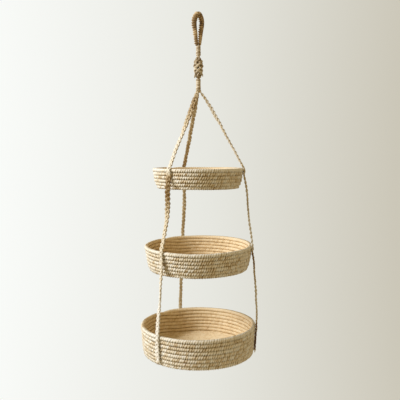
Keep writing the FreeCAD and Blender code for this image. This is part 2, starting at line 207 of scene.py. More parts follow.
# The stage
CAMERA_AZIMUTH = -18.0          # degrees round from the front, negative to the left
CAMERA_DISTANCE = 1.49
CAMERA_HEIGHT = -0.367
CAMERA_DIP = 4.7                # degrees below level
CAMERA_ASIDE = -0.17            # degrees that the camera turns past the stack's axis
LENS = 49.3
LAMP_AZIMUTH = CAMERA_AZIMUTH - 75
LAMP_ELEVATION = 27
LAMP_DISTANCE = 2.6
LAMP_SIZE = 0.85
LAMP_POWER = 73
LAMP_TARGET = Vector((0, 0, -0.6))      # near the middle of the baskets
FILL_COLOUR = (1.0, 0.77, 0.42)
FILL_STRENGTH = 0.48
WALL_COLOUR = (0.80, 0.80, 0.745)
WALL_BRIGHT = (0.95, 0.965, 0.94)       # painted light, on the lamp's side
# Painted shade, on the side of the wall away from the lamp
WALL_DIM = (0.60, 0.57, 0.48)
WALL_REACH = 0.34               # sine of the angle off the view's middle at which these are met
WALL_MIDDLE = 0.53              # where the wall's own colour is met, from bright, 0, to dim, 1
FLOOR_HEIGHT = -1.5
FLOOR_RADIUS = 0.95


# ---------------------------------------------------------------- mesh helpers
def smooth(t):
    t = np.clip(t, 0, 1)
    return t * t * (3 - 2 * t)


def tapered(distance, length, tip):
    """Grows over a length from a tip's share of the full size to 1."""
    return tip + (1 - tip) * smooth(distance / length)


def wander(s, scale, seed):
    """A smooth random line of about -1 to 1 along s, the same each run."""
    values = np.array([noise.fractal(Vector((x / scale, seed * 7.31, 0.37)), 1.0, 2.0, 2)
                       for x in np.ravel(s)])
    return values.reshape(np.shape(s)) * 1.6


def varied(draw, count, least, spread):
    """Random values from least up to least + spread."""
    return least + spread * draw.rand(count)


def bump_at(angle, centre, width):
    """A bell of height 1 round an angle."""
    return np.exp(-((np.mod(angle - centre + math.pi, TAU) - math.pi) / width) ** 2)


def unit(vectors):
    return vectors / np.linalg.norm(vectors, axis=-1, keepdims=True)


def compass(turn):
    """The outward and the sideways direction at an azimuth in radians."""
    outward = np.array([math.cos(turn), math.sin(turn), 0])
    sideways = np.array([-math.sin(turn), math.cos(turn), 0])
    return outward, sideways


def lengths_along(points):
    """The length of a line from its start to each of its points."""
    return np.concatenate([[0], np.cumsum(np.linalg.norm(np.diff(points, axis=0), axis=1))])


def softened(points, span):
    """A line's points, each the weighted mean of a span of them, so that corners are rounded."""
    kernel = np.hanning(span + 2)[1:-1]
    kernel /= kernel.sum()
    padded = np.pad(points, ((span // 2, span // 2), (0, 0)), mode="edge")
    return np.stack([np.convolve(column, kernel, "valid") for column in padded.T], axis=-1)


class Route:
    """A centre line with two cross directions, looked up by length along it."""

    def __init__(self, points, first, second):
        self.lengths = lengths_along(points)
        self.length = self.lengths[-1]
        self.columns = np.hstack([points, first, second])
        middle = len(points) // 2
        ahead = points[middle + 1] - points[middle]
        self.left_handed = np.dot(np.cross(first[middle], second[middle]), ahead) < 0

    def at(self, s):
        found = [np.interp(s, self.lengths, column) for column in self.columns.T]
        return [np.stack(found[index:index + 3], axis=-1) for index in (0, 3, 6)]


def framed(points, reference):
    """A route along points whose first cross direction keeps as near as it can to a reference."""
    along = unit(np.gradient(points, axis=0))
    first = unit(reference - np.sum(reference * along, axis=1, keepdims=True) * along)
    return Route(points, first, np.cross(along, first))


def ring_points(frames, wide, thick, angle):
    """Points round a route's frames: its centres and their two cross directions."""
    centre, first, second = frames
    return centre + (wide * np.cos(angle))[..., None] * first \
        + (thick * np.sin(angle))[..., None] * second


def grid_faces(rows, sides, shift=0):
    """Quads of a tube whose rings join up, each ring's end shift rings further on."""
    row, side = np.meshgrid(np.arange(rows - 1 - shift), np.arange(sides), indexing="ij")
    after = (side + 1) % sides
    jump = np.where(side == sides - 1, shift, 0)
    quads = np.stack([row * sides + side, (row + jump) * sides + after,
                      (row + jump + 1) * sides + after, (row + 1) * sides + side], axis=-1)
    return quads.reshape(-1, 4)


class Skin:
    """Vertices, faces and paint of one piece, gathered from several tubes."""

    # Paint kept for each point: the tone, the painted shade in the gaps, and the share of the side
    # that faces into a basket
    KEYS = ("tint", "gap_shade", "inner")

    def __init__(self):
        self.points = []
        self.faces = []
        self.paint = []
        self.grain = []
        self.count = 0

    def add(self, route, points, shift, grain, tint, gap_shade, inner=0.0):
        """Join up one tube's rings of points. shift is as in grid_faces."""
        rows, sides = points.shape[:2]
        faces = grid_faces(rows, sides, shift)
        self.points.append(points.reshape(-1, 3))
        self.faces.append((faces[:, ::-1] if route.left_handed else faces) + self.count)
        layers = [np.broadcast_to(layer, (rows, sides)).ravel() for layer in (tint, gap_shade, inner)]
        self.paint.append(np.stack(layers, axis=-1))
        self.grain.append(grain.reshape(-1, 3))
        self.count += rows * sides

    def build(self, name, material):
        """The piece as an object in the scene, with its paint as attributes of the mesh."""
        points = np.vstack(self.points)
        faces = np.vstack(self.faces)
        paint = np.vstack(self.paint)
        grain = np.vstack(self.grain)
        mesh = bpy.data.meshes.new(name)
        mesh.vertices.add(len(points))
        mesh.vertices.foreach_set("co", points.astype(np.float32).ravel())
        mesh.loops.add(faces.size)
        mesh.loops.foreach_set("vertex_index", faces.astype(np.int32).ravel())
        mesh.polygons.add(len(faces))
        mesh.polygons.foreach_set("loop_start", np.arange(0, faces.size, 4, dtype=np.int32))
        mesh.polygons.foreach_set("use_smooth", np.ones(len(faces), dtype=bool))
        for index, key in enumerate(self.KEYS):
            layer = mesh.attributes.new(key, "FLOAT", "POINT")
            layer.data.foreach_set("value", paint[:, index].astype(np.float32))
        layer = mesh.attributes.new("grain", "FLOAT_VECTOR", "POINT")
        layer.data.foreach_set("vector", grain.astype(np.float32).ravel())
        mesh.update(calc_edges=True)
        mesh.validate()
        obj = bpy.data.objects.new(name, mesh)
        bpy.context.scene.collection.objects.link(obj)
        mesh.materials.append(material)
        return obj


def tube(skin, route, step, sides, shape, tint, stretch=None, twist=0.0, grain=(100.0, 3.0)):
    """A cord along a route, or along one stretch of it.

    shape(s, angle) gives its two half widths and the painted shade in its gaps. tint is one value,
    or a function of the length along the route.
    """
    start, stop = stretch or (0, route.length)
    rows = max(int(round((stop - start) / step)), 2) + 1
    s = np.broadcast_to(np.linspace(start, stop, rows)[:, None], (rows, sides))
    angle = (np.arange(sides) * TAU / sides)[None, :]
    wide, thick, gap_shade = shape(s, angle)
    points = ring_points(route.at(s), wide, thick, angle)
    turned = angle + twist * s
    places = [s * grain[0], np.cos(turned) * grain[1], np.sin(turned) * grain[1]]
    painted = tint(s) if callable(tint) else tint
    skin.add(route, points, 0, np.stack(places, axis=-1), painted, gap_shade)


def plied(radius, plies, lay, seed, end=None):
    """The shape of a cord twisted from plies, which thins to its end where it has one."""
    taper = 5 * MM

    def shape(s, angle):
        crown = np.abs(np.cos((angle * plies + s / lay * TAU) / 2))
        reach = radius * (0.9 + 0.16 * crown) * (1 + 0.08 * wander(s[:, :1], 6 * MM, seed))
        if end is not None:
            reach = reach * np.clip((end - s) / taper, 0.02, 1) ** 0.6
        # Painted shade in the grooves between the plies
        return reach, reach, np.clip(1 - 1.6 * crown, 0, 1)
    return shape


# ---------------------------------------------------------------- materials
class Graph:
    """A material's or a world's nodes, with short ways to add and link them."""

    def __init__(self, owner):
        owner.use_nodes = True
        self.nodes = owner.node_tree.nodes
        self.links = owner.node_tree.links

    def add(self, kind, **values):
        """A new node, with some of its properties set."""
        made = self.nodes.new("ShaderNode" + kind)
        for key, value in values.items():
            setattr(made, key, value)
        return made

    def maths(self, kind, *values):
        """A sum on numbers and outputs."""
        made = self.add("Math", operation=kind)
        for socket, value in zip(made.inputs, values):
            if isinstance(value, (int, float)):
                socket.default_value = value
            else:
                self.links.new(value, socket)
        return made.outputs[0]

    def speckle(self, source, scale, detail):
        """A noise field looked up by a source of places."""
        field = self.add("TexNoise")
        field.inputs["Scale"].default_value = scale
        field.inputs["Detail"].default_value = detail
        self.links.new(source, field.inputs["Vector"])
        return field.outputs["Fac"]

    def shifted(self, tone, field, share):
        """A tone moved up and down by a share of a noise field."""
        offset = self.maths("MULTIPLY", self.maths("SUBTRACT", field, 0.5), share)
        return self.maths("ADD", tone, offset)

    def ramp(self, tone, low, middle, high):
        """A colour for a tone, from three stops of a place and a colour each."""
        made = self.add("ValToRGB")
        elements = made.color_ramp.elements
        for element, (place, colour) in zip(elements, (low, high)):
            element.position = place
            element.color = (*colour, 1)
        elements.new(middle[0]).color = (*middle[1], 1)
        self.links.new(tone, made.inputs["Fac"])
        return made.outputs["Color"]


def plant_fibre(name, pale, middle, deep, depth, inside=(1.0, 1.0, 1.0)):
    """Plant fibre: colour by strip and streak, with painted shade in the gaps, streaky roughness
    and bump.

    depth is how strongly the painted shade darkens and warms the gaps. inside tints the side of a
    coil that faces into the basket, as painted warm bounce light.
    """
    material = bpy.data.materials.new(name)
    graph = Graph(material)
    links = graph.links
    shader = graph.nodes["Principled BSDF"]
    shader.inputs["Sheen Weight"].default_value = 0.12
    shader.inputs["Specular IOR Level"].default_value = 0.15
    tint, gap_shade, inner = (graph.add("Attribute", attribute_name=key).outputs["Fac"]
                        for key in Skin.KEYS)
    grain = graph.add("Attribute", attribute_name="grain").outputs["Vector"]
    place = graph.add("TexCoord").outputs["Object"]
    streak = graph.speckle(grain, 1.0, 3.0)
    patch = graph.speckle(place, PATCH_SCALE, 2.0)
    fine = graph.speckle(place, FINE_SCALE, 2.0)

    tone = graph.shifted(tint, streak, STREAK_SHARE)
    tone = graph.shifted(tone, patch, PATCH_SHARE)
    tone = graph.shifted(tone, fine, FINE_SHARE)
    colour = graph.ramp(tone, (0.1, pale), (0.5, middle), (0.92, deep))
    # Painted bounce light: the side that faces into a basket is tinted warmer, for the golden light
    # bounced round inside it
    golden = graph.add("MixRGB", blend_type="MULTIPLY")
    golden.inputs["Color2"].default_value = (*inside, 1)
    links.new(inner, golden.inputs["Fac"])
    links.new(colour, golden.inputs["Color1"])

    # Painted shade: the gaps grow darker and warmer through a gamma that rises with the gap value
    # and the streaks, less on the side that faces into a basket
    painted_shade = graph.maths("MULTIPLY", gap_shade, graph.maths("ADD", 0.45, streak))
    kept = graph.maths("SUBTRACT", 1.0, graph.maths("MULTIPLY", inner, 0.5))
    painted_shade = graph.maths("MULTIPLY", painted_shade, kept)
    deepen = graph.add("Gamma")
    links.new(golden.outputs["Color"], deepen.inputs["Color"])
    links.new(graph.maths("ADD", 1.0, graph.maths("MULTIPLY", painted_shade, depth)), deepen.inputs["Gamma"])
    links.new(deepen.outputs["Color"], shader.inputs["Base Color"])

    rough = graph.add("MapRange")
    rough.inputs["To Min"].default_value = FIBRE_ROUGHNESS[0]
    rough.inputs["To Max"].default_value = FIBRE_ROUGHNESS[1]
    links.new(streak, rough.inputs["Value"])
    links.new(rough.outputs["Result"], shader.inputs["Roughness"])
    relief = graph.add("Bump")
    relief.inputs["Strength"].default_value = 0.3
    relief.inputs["Distance"].default_value = FIBRE_RELIEF
    height = graph.maths("ADD", streak, graph.maths("MULTIPLY", fine, 0.6))
    links.new(height, relief.inputs["Height"])
    links.new(relief.outputs["Normal"], shader.inputs["Normal"])
    return material


STRAW = plant_fibre("palm_straw", pale=(0.87, 0.865, 0.84), middle=(0.80, 0.745, 0.63),
                    deep=(0.45, 0.31, 0.13), depth=3.0, inside=(1.0, 0.90, 0.73))
PLAIT = plant_fibre("palm_plait", pale=(0.86, 0.855, 0.83), middle=(0.76, 0.70, 0.57),
                    deep=(0.42, 0.285, 0.12), depth=3.6)
STRIP = plant_fibre("whipping_strip", pale=(0.76, 0.71, 0.60), middle=(0.45, 0.375, 0.265),
                    deep=(0.21, 0.145, 0.07), depth=2.6)
BROWN = plant_fibre("brown_cord", pale=(0.62, 0.50, 0.32), middle=(0.37, 0.265, 0.145),
                    deep=(0.17, 0.11, 0.05), depth=1.3)


def dress(obj, body, slot, *nodes):
    """Put a piece on its body, in place of CAD nodes. slot is not used."""
    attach(obj, body)
    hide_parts(*nodes)


# ---------------------------------------------------------------- coiled baskets
def course_centres(tier):
    """Centres of the courses as (radius, height), the rim first and the base's edge last."""
    coil = TIERS[tier]
    _, rim_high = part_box(tier + "_rim")
    centres = [(rim_high[0] - coil.radius, rim_high[2] - coil.radius)]
    corner = [(coil.lean + coil.corner_lean) / 2, coil.corner_lean]
    for lean in [coil.lean] * (coil.courses - 1 - len(corner)) + corner:
        turn = math.radians(lean)
        radius, height = centres[-1]
        radius -= coil.pitch * math.sin(turn)
        height -= coil.pitch * math.cos(turn)
        centres.append((radius, height))
    return centres


def tilt_of(tier):
    """The turn that tips a basket about its rim's centre, as a matrix, and that centre."""
    azimuth, degrees = TILTS[tier]
    low = math.radians(azimuth)
    axis = Vector((-math.sin(low), math.cos(low), 0))
    centre = np.array([0, 0, course_centres(tier)[0][1]])
    return np.array(Matrix.Rotation(math.radians(degrees), 3, axis)), centre


def ring_noise(around, index, scale, drift, seed):
    """Random values along a coil that join up after a turn and change by drift with each course."""
    return np.array([noise.noise(Vector((x * scale, y * scale, course * drift + seed)))
                     for (x, y), course in zip(around, index)])


def coil_route(tier, stops, seed, spiral=0):
    """A coil that runs level round each stop and climbs to the next in its jog.

    The first few rings, spiral in number, may run as a true spiral instead.
    """
    turns = np.arange((len(stops) - 1) * COIL_SAMPLES + 1) / COIL_SAMPLES
    whole = np.minimum(np.floor(turns), len(stops) - 2)
    part = turns - whole
    jog = smooth((part - (1 - COIL_JOG / TAU)) / (COIL_JOG / TAU))
    level = smooth(turns / spiral) if spiral else 1.0
    index = whole + jog * level + part * (1 - level)
    radius = np.interp(index, np.arange(len(stops)), [stop[0] for stop in stops])
    height = np.interp(index, np.arange(len(stops)), [stop[1] for stop in stops])
    azimuth = JOG_AZIMUTH + turns * TAU
    around = np.stack([np.cos(azimuth), np.sin(azimuth)], axis=-1)
    wave = ring_noise(around, index, 1.3, 0.07, seed * 5.0)
    ripple = ring_noise(around, index, 4.0, 0.9, seed * 9.0)
    steady = np.minimum(radius / (80 * MM), 1)
    radius = radius + steady * (1.1 * wave + 0.35 * ripple) * MM
    height = height + (0.6 * np.roll(wave, COIL_SAMPLES // 4) + 0.3 * ripple) * MM
    points = np.stack([radius * around[:, 0], radius * around[:, 1], height], axis=-1)
    outward = np.stack([around[:, 0], around[:, 1], 0 * radius], axis=-1)
    tilt, centre = tilt_of(tier)
    points = (points - centre) @ tilt.T + centre
    return Route(points, outward @ tilt.T, np.broadcast_to(UP @ tilt.T, outward.shape))


def wrapped(skin, route, stop, radius, seed, inside, stitches, thin_start=False, rim=0.0):
    """A bundle wrapped in palm strip, each wrap a slanting ridge sewn into the course below.

    inside is the angle of the cleaner side, and stitches of the side where the strip goes in.
    rim is the length at its end that is painted palest, most on its top, as a painted highlight.
    """
    # The lattice of wraps, each of its own width and looks
    draw = np.random.RandomState(seed)
    wraps = int(stop / STITCH)
    widths = varied(draw, wraps, 0.7, 0.6)
    edges = np.concatenate([[0], np.cumsum(widths)]) / widths.sum() * stop
    row, column = np.indices(((wraps + 2 * WRAP_SLANT) * STITCH_ROWS + 1, COIL_SIDES))
    angle = stitches + column * TAU / COIL_SIDES
    slanted = row / STITCH_ROWS + WRAP_SLANT * (column / COIL_SIDES - 1)
    s = np.interp(slanted, np.arange(wraps + 1), edges)
    wrap = np.clip(row // STITCH_ROWS - WRAP_SLANT, 0, wraps - 1)
    part = row % STITCH_ROWS
    size = varied(draw, wraps, 0.6, 0.8)[wrap]
    tone = varied(draw, wraps, 0, 1)[wrap]
    # Random strengths of the painted shade in each wrap's seam and gap
    tongue = ((draw.rand(wraps) < 0.85) * varied(draw, wraps, 0.5, 0.5))[wrap]
    seam_shade = varied(draw, wraps, 0.4, 1.5)[wrap]
    wrap_shade = varied(draw, wraps, 0.2, 2.0)[wrap]
    clean = np.clip(np.cos(angle - inside), 0, 1) ** 0.5
    seam = bump_at(angle, stitches, 0.6)

    # The section: the bundle, thinner at its ends, its ridges and its stitches
    thick = radius * (1 + 0.05 * wander(s[:, :1], 120 * MM, seed + 2))
    if thin_start:
        thick = thick * tapered(s, COIL_START_TAPER, 0.3)
    thick = thick * tapered(stop - s, COIL_END_TAPER, 0.25)
    thick = thick * np.clip(np.minimum(s, stop - s) / (3 * MM), 0.001, 1) ** 0.5
    ridge = WRAP_RIDGE[part] * size * WRAP_DEPTH * (0.95 - 0.7 * clean)
    reach = thick + ridge + seam * TONGUE_REACH[part] * tongue
    square = OUTER_SQUARENESS + (INNER_SQUARENESS - OUTER_SQUARENESS) * clean
    roundness = np.abs(np.cos(angle)) ** square + np.abs(np.sin(angle)) ** square
    reach = reach * roundness ** (-1 / square)
    points = ring_points(route.at(s), reach, reach, angle)

    # The tint of each wrap, from pale to deep
    drift = wander(s[:, :1], 70 * MM, seed + 3)
    on_rim = smooth((s - stop + rim) / RIM_FADE)
    spread = (0.48 - 0.3 * clean) * (1 - 0.6 * on_rim)
    tint = 0.40 + 0.1 * clean + spread * (tone - 0.5) + 0.05 * drift - 0.25 * seam * tongue
    # Painted highlight: the rim is painted paler all round and palest on its top, where the lamp
    # falls on it
    upper = 0.4 + 0.6 * np.clip(np.sin(angle), 0, 1)
    tint = np.clip(tint - 0.3 * upper * on_rim, 0, 1)

    # Painted shade in the gaps between the wraps, between the courses and round the stitches, where
    # shade falls
    edge = np.abs(np.sin(angle - inside))
    outside = np.cos(angle - inside) < 0.1
    valley = np.where(outside, seam_shade * edge ** 6, 1.4 * edge ** 9)
    gap_shade = (part == 0) * (0.9 - 0.75 * clean) * wrap_shade + valley
    gap_shade = np.clip(gap_shade + seam * np.maximum(TONGUE_PIT[part], 1.0 - 1.1 * tongue), 0, 2.0)
    grain = np.stack([s / STITCH * 6.0, np.cos(angle) * 1.3, np.sin(angle) * 1.3 + wrap * 3.7],
                     axis=-1)
    skin.add(route, points, WRAP_SLANT * STITCH_ROWS, grain, tint, gap_shade, clean)


def make_base(tier, seed):
    """A basket's base: a coil from its middle out to its edge."""
    coil = TIERS[tier]
    radius, height = course_centres(tier)[-1]
    rings = round(radius / coil.pitch)
    stops = [(radius * ring / rings, height) for ring in range(rings + 1)]
    route = coil_route(tier, stops + stops[-1:], seed, SPIRAL_TURNS)
    stop = route.length - BASE_OPEN_TURN * TAU * radius
    skin = Skin()
    wrapped(skin, route, stop, coil.radius - WRAP_DEPTH, seed, BASE_INSIDE, BASE_STITCHES,
            thin_start=True)
    dress(skin.build(tier + "_coiled_base", STRAW), tier + "_basket", "coiled_palm", tier + "_base")


def make_wall(tier, seed):
    """A basket's wall: the coil from the base's edge up to the end of the rim."""
    coil = TIERS[tier]
    stops = course_centres(tier)[::-1]
    rim_radius = stops[-1][0]
    route = coil_route(tier, stops + stops[-1:], seed)
    stop = route.length - COIL_JOG * rim_radius * WALL_OPEN_JOG
    skin = Skin()
    wrapped(skin, route, stop, coil.radius - WRAP_DEPTH, seed, WALL_INSIDE, WALL_STITCHES,
            rim=RIM_TURN * TAU * rim_radius)
    wall = skin.build(tier + "_coiled_wall", STRAW)
    dress(wall, tier + "_basket", "coiled_palm", tier + "_wall", tier + "_rim")


# ---------------------------------------------------------------- plaited straps
def strap_azimuth(side, tier):
    """Where a strap crosses a rim, in radians."""
    sway = HANG[side]["sway"][tier][-1] * MM
    return math.radians(STRAP_AZIMUTHS[side]) + sway / course_centres(tier)[0][0]


def rim_dip(side, tier):
    """How far a basket's tilt lowers its rim at a strap."""
    azimuth, degrees = TILTS[tier]
    from_low = strap_azimuth(side, tier) - math.radians(azimuth)
    return course_centres(tier)[0][0] * math.sin(math.radians(degrees)) * math.cos(from_low)


def strap_profile(side):
    """The strap's line in the radial plane, and where its stretches end, as places in the line."""
    low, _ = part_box("lower_whipping")
    _, span_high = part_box("top_back_strap_span")
    inside_whipping = (2.2 * MM, low[2] + 12 * MM)
    leaving = (3.4 * MM, low[2])
    spreading = (5.9 * MM, span_high[2] - 4 * MM)
    line = [inside_whipping, leaving, spreading]
    marks = []
    for tier, coil in TIERS.items():
        radius, height = course_centres(tier)[0]
        height -= rim_dip(side, tier)
        seat = coil.radius + STRAP_SEAT
        across = radius - line[-1][0]
        down = height - line[-1][1]
        entry = math.atan2(down, across) + math.acos(-seat / math.hypot(across, down))
        marks.append(("span", tier, len(line)))
        lean = math.radians(coil.lean)
        for share in np.linspace(0, 1, 7):
            turn = entry + share * (-lean - entry)
            line.append((radius + seat * math.cos(turn), height + seat * math.sin(turn)))
        sewn = STRAP_TAIL if tier == "bottom" else coil.pitch
        line.append((line[-1][0] - sewn * math.sin(lean), line[-1][1] - sewn * math.cos(lean)))
        marks.append(("sewn", tier, len(line) - 1))
    return line, marks


def resampled(line, marks):
    """Close points along a line, rounded at its corners, with the marks as lengths."""
    line = np.array(line)
    lengths = lengths_along(line)
    s = np.linspace(0, lengths[-1], int(lengths[-1] / (1.0 * MM)) + 1)
    even = np.stack([np.interp(s, lengths, column) for column in line.T], axis=-1)
    return s, softened(even, 11), [(kind, tier, lengths[index]) for kind, tier, index in marks]


def hang(side, kind, s, marks):
    """One of a strap's hanging lines, softened, as a value for each length s."""
    values = np.zeros(len(s))
    begin = 0.0
    for stretch, tier, end in marks:
        inside = (s > begin) & (s <= end)
        keys = HANG[side][kind][tier]
        if stretch == "span":
            share = (s[inside] - begin) / (end - begin)
            values[inside] = np.interp(share, np.linspace(0, 1, len(keys)), keys)
        else:
            values[inside] = keys[-1]
        begin = end
    return softened(values[:, None], 31)[:, 0]


def freedom(s, marks):
    """1 along the middle of each free span, down to 0 where the strap is sewn."""
    free = np.zeros(len(s))
    begin = 0.0
    for stretch, _, end in marks:
        if stretch == "span":
            share = np.clip((s - begin) / (end - begin), 0, 1)
            free = free + np.sin(math.pi * share) ** 0.6
        begin = end
    return free


def strap_route(side, seed):
    """A strap's centre line with its hang, and the lengths at which its stretches end."""
    s, even, marks = resampled(*strap_profile(side))
    tangent = unit(np.gradient(even, axis=0))
    radial, sideways = compass(math.radians(STRAP_AZIMUTHS[side]))
    points = even[:, :1] * radial + even[:, 1:] * UP
    normal = -tangent[:, 1:] * radial + tangent[:, :1] * UP
    free = freedom(s, marks)
    twist = np.radians(hang(side, "twist", s, marks)) + free * wander(s, 60 * MM, seed + 2) * 0.2
    sway = hang(side, "sway", s, marks) * MM + free * wander(s, 55 * MM, seed) * 0.9 * MM
    bow = hang(side, "bow", s, marks) * MM + free * wander(s, 45 * MM, seed + 1) * 0.9 * MM
    points = points + sway[:, None] * sideways + bow[:, None] * normal
    across = np.cos(twist)[:, None] * sideways + np.sin(twist)[:, None] * normal
    outward = -np.sin(twist)[:, None] * sideways + np.cos(twist)[:, None] * normal
    return Route(points, across, outward), marks


def gathered(s, width):
    """A strap's width as a share of the usual, less where it leaves the neck."""
    return width * (0.66 + 0.34 * smooth((s - 14 * MM) / (22 * MM)))


def strand_route(route, strand, seed, width):
    """One of a strap's plaited strands, and its points' lengths along the strap."""
    s = np.arange(0, route.length, 0.5 * MM)
    centre, across, outward = route.at(s)
    uneven = (1 + 0.1 * wander(s, 30 * MM, seed)) * gathered(s, width)
    turn = TAU * (s / PLAIT_PERIOD + strand / STRANDS) + 0.3 * wander(s, 60 * MM, seed + 4)
    points = centre + (PLAIT_SWAY * uneven * np.sin(turn))[:, None] * across \
        + (PLAIT_LIFT * np.sin(2 * turn))[:, None] * outward
    return Route(points, across, outward), s


def strand_shape(seed, width):
    """The shape of a flat, ribbed strand."""
    def shape(s, angle):
        rib = np.cos(STRAND_RIBS * angle + s / RIB_LAY)
        fat = (1 + 0.14 * wander(s[:, :1], 9 * MM, seed)) * gathered(s, width)
        groove = 1 + 0.08 * rib
        # Painted shade along the strand's edges, where it tucks under its neighbours, and in the
        # grooves between its ribs
        gap_shade = np.abs(np.cos(angle)) ** 5 * 0.9 + np.clip(-rib, 0, 1) * 0.3
        return STRAND_WIDE * groove * fat, STRAND_THICK * groove * fat, np.clip(gap_shade, 0, 1)
    return shape


def make_strap(side, seed):
    """A strap in its hanging and its sewn stretches. Gives back its route."""
    route, marks = strap_route(side, seed)
    width = STRAP_WIDTHS[side]
    strands = []
    for strand in range(STRANDS):
        own, own_s = strand_route(route, strand, seed + strand, width)
        # Painted shade and light: deeper on stretches that face away from the lamp, paler on those
        # that face it
        tints = hang(side, "tint", np.clip(own_s, 0.1 * MM, marks[-1][2]), marks)
        tints = np.clip(tints + 0.1 * wander(own_s, 50 * MM, seed + strand), 0, 1)
        strands.append((own, own_s, tints))
    begin = 0.0
    for kind, tier, end in marks:
        skin = Skin()
        for strand, (own, own_s, tints) in enumerate(strands):
            tube(skin, own, 1.1 * MM, 10, strand_shape(seed + strand, width),
                 lambda s: np.interp(s, own.lengths, tints),
                 stretch=np.interp([begin, end], own_s, own.lengths).tolist(),
                 twist=1 / (7 * MM), grain=(90.0, 3.4))
        piece = skin.build(f"{tier}_{side}_plait_{kind}", PLAIT)
        node = f"{tier}_{side}_strap_{kind}"
        if kind == "sewn":
            dress(piece, tier + "_basket", "plaited_strap", node)
        else:
            first, last = (Vector(route.at(np.array([mark]))[0][0]) for mark in (begin, end))
            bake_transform(piece)
            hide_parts(node)
        begin = end
    return route


def polyline(corners, span=9):
    """Close points along corners, with the corners rounded off over a span of points."""
    corners = np.array(corners)
    lengths = lengths_along(corners)
    s = np.linspace(0, lengths[-1], int(lengths[-1] / (0.5 * MM)) + 2)
    points = np.stack([np.interp(s, lengths, column) for column in corners.T], axis=-1)
    return softened(points, span)


def make_lashings(tier, seed):
    """Twine that crosses each strap at the rim and goes in between the two top courses."""
    coil = TIERS[tier]
    skin = Skin()
    (radius, high), (_, low) = course_centres(tier)[:2]
    seam = radius + 0.35 * coil.pitch
    bar = radius + coil.radius + STRAP_SEAT + LASHING_CLEARANCE
    shoulder = bar - 1.5 * MM
    for index, side in enumerate(STRAP_AZIMUTHS):
        radial, sideways = compass(strap_azimuth(side, tier))
        dip = rim_dip(side, tier)
        for way in (-1, 1):
            far = way * LASHING_HALF_WIDTH
            near = way * (LASHING_HALF_WIDTH - 0.7 * MM)
            path = [(seam, far, high + 1 * MM), (shoulder, near, high), (bar, 0, (high + low) / 2),
                    (shoulder, -near, low + 1 * MM), (seam, -far, low + 2 * MM)]
            points = polyline([r * radial + t * sideways + (z - dip) * UP for r, t, z in path])
            twine = plied(LASHING_RADIUS, 2, 4 * MM, seed + index)
            tube(skin, framed(points, UP), 0.5 * MM, 8, twine, 0.45, grain=(160.0, 2.0))
    piece = skin.build(tier + "_lashing_twine", PLAIT)
    dress(piece, tier + "_basket", "lashing_cord", tier + "_lashings")


def collar_shape(length):
    """The shape of a short whipping round a flat strap."""
    def shape(s, angle):
        wave = 1 + 0.12 * np.abs(np.sin(s / (1.5 * MM) * math.pi))
        close = np.clip(np.minimum(s, length - s) / (1.2 * MM), 0.3, 1) ** 0.5
        # Painted shade in the grooves between the wraps
        return COLLAR_WIDE * wave * close, COLLAR_THICK * wave * close, 0.5 * (wave < 1.04)
    return shape


def make_strap_ends(routes):
    """Whipped strap ends, with the strands' fibres fanning out below the whipping."""
    draw = np.random.RandomState(77)
    skin = Skin()
    for route in routes:
        tip, across, outward = (found[0] for found in route.at(np.array([route.length])))
        down = unit(tip - route.at(np.array([route.length - 5 * MM]))[0][0])
        collar = framed(polyline([tip - 2.5 * MM * down, tip + 3.5 * MM * down]), across)
        tube(skin, collar, 0.3 * MM, 16, collar_shape(collar.length), 0.4, grain=(500.0, 2.0))
        for _ in range(TUFT_FIBRES):
            side = draw.uniform(-1, 1)
            front = draw.uniform(-0.2, 1)
            length = draw.uniform(3, 7) * MM
            root = tip + 2.5 * MM * down + 3.2 * MM * side * across + 1.2 * MM * front * outward
            fan = side + draw.uniform(-0.4, 0.4)
            lean = unit(down + 0.35 * fan * across + 0.3 * front * outward)
            fibre = [root, root + length * 0.5 * lean, root + length * (lean + 0.15 * down)]
            own = framed(polyline(fibre), outward)
            thin = plied(draw.uniform(0.3, 0.55) * MM, 2, 5 * MM, 5, end=own.length)
            tube(skin, own, 0.8 * MM, 5, thin, draw.rand())
    dress(skin.build("strap_end_tufts", PLAIT), "bottom_basket", "plaited_strap", "strap_ends")


# ---------------------------------------------------------------- neck and loop
def wound(skin, route, pitch, radius, rise, seed, sides=18, rows_per=7, spread=0.3, hitches=None):
    """Strip or cord wound round a core in ridges, with a row of hitches where hitches says.

    radius(s) is the core's radius, and hitches(s) the angle of the hitches. rows_per is the
    number of mesh rings in one turn.
    """
    draw = np.random.RandomState(seed)
    step = pitch / rows_per
    row, column = np.indices((int(route.length / step) + 2 * rows_per + 2, sides))
    angle = column * TAU / sides
    s = np.clip((row - rows_per) * step + pitch * column / sides, 0, route.length)
    turn = row // rows_per
    turns = int(turn.max()) + 1
    phase = row % rows_per / rows_per
    crest = np.sin(math.pi * (phase + 0.5 / rows_per))
    reach = radius(s) + (crest ** 0.7 - 0.6) * rise * varied(draw, turns, 0.85, 0.3)[turn]
    # Painted shade in the grooves between the ridges
    gap_shade = np.clip(0.9 - 2.2 * crest, 0, 1)
    tint = 0.5 + spread * (draw.rand(turns)[turn] - 0.5) * 2
    if hitches:
        where = hitches(s)
        hitch = bump_at(angle, where, 0.75) * crest ** 2
        reach = reach + hitch * HITCH_HEIGHT * varied(draw, turns, 0.7, 0.6)[turn]
        # Painted shade beside each hitch
        gap_shade = np.clip(gap_shade + bump_at(angle, where + 0.8, 0.25) * 0.7, 0, 1)
        tint = tint - 0.4 * hitch
    points = ring_points(route.at(s), reach, reach, angle)
    grain = np.stack([(angle / TAU + turn) * 9.0, phase * 3.0, turn * 5.1], axis=-1)
    skin.add(route, points, rows_per, grain, np.clip(tint, 0, 1), gap_shade)


def upright(top, bottom):
    """A route straight down the neck."""
    heights = np.arange(top, bottom, -0.5 * MM)
    return framed(np.stack([0 * heights, 0 * heights, heights], axis=-1), EAST)


